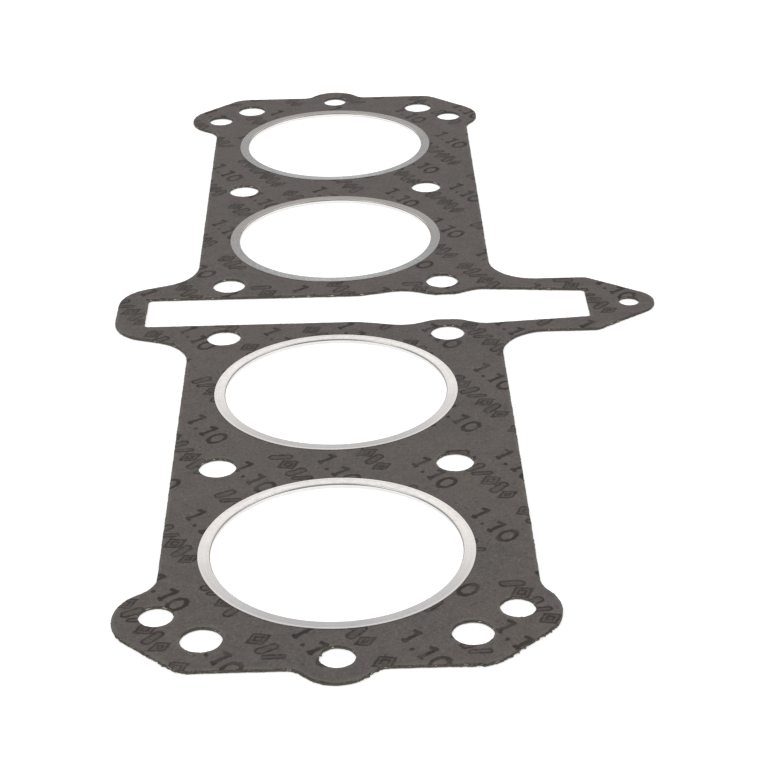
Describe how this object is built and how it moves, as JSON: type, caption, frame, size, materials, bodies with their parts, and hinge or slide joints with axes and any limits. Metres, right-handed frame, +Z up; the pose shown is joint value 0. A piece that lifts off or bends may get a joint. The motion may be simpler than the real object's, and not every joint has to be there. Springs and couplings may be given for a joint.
{
  "type": "cylinder head gasket",
  "caption": "Flat composite head gasket for an in-line engine: fibre facings on a steel core, folded steel rings round the bores, slot for the cam chain and a bolt tab.",
  "frame": {"origin": "centre of the four stud holes round the cam chain slot, in the plane of the fire rings' undersides, on which the gasket lies", "axes": "+X across the engine to the tab, +Y along the row of cylinders, +Z up from the block's face to the head"},
  "size_m": [0.1747, 0.408, 0.0014],
  "materials": {
    "fibre_facing": "calendered fibre sheet, matt",
    "core_steel": "thin steel strip, cut edge showing",
    "ring_steel": "satin stainless strip, folded"
  },
  "bodies": {
    "root": {"upper_facing": "fibre_facing", "lower_facing": "fibre_facing", "steel_core": "core_steel", "fire_ring_1": "ring_steel", "fire_ring_2": "ring_steel", "fire_ring_3": "ring_steel", "fire_ring_4": "ring_steel"}
  },
  "joints": []
}
